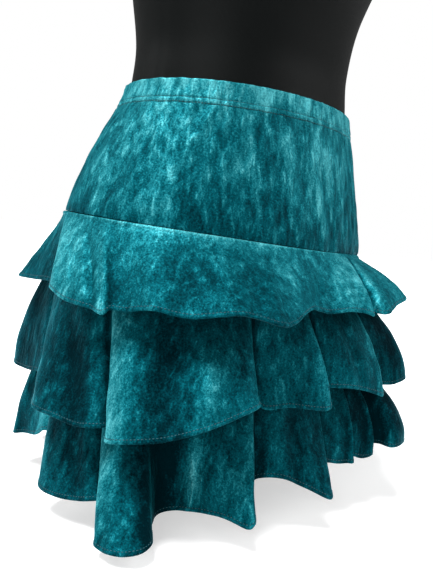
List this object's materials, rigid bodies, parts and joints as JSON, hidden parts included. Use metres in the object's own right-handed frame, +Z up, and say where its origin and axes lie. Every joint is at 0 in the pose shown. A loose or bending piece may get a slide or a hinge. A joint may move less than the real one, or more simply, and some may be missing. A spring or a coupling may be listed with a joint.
{
  "type": "mini skirt on dress form",
  "caption": "Pull-on mini skirt in crushed velvet with an elastic casing, a fitted yoke and tiered flounces, worn by a limbless dress form that stands on its own flat base.",
  "frame": {"origin": "middle of the dress form's flat base, on the floor", "axes": "+Z up, -Y the wearer's front, +X the wearer's left"},
  "size_m": [0.4173, 0.359, 0.787],
  "materials": {
    "velvet": "crushed pile with a soft sheen",
    "under_cloth": "matte back of the pile cloth",
    "knit": "fine black jersey cover"
  },
  "bodies": {
    "root": {"dress_form": "knit", "waist_casing": "velvet", "yoke": "velvet", "under_skirt": "under_cloth", "flounce_1": "velvet", "flounce_2": "velvet", "flounce_3": "velvet"}
  },
  "joints": []
}
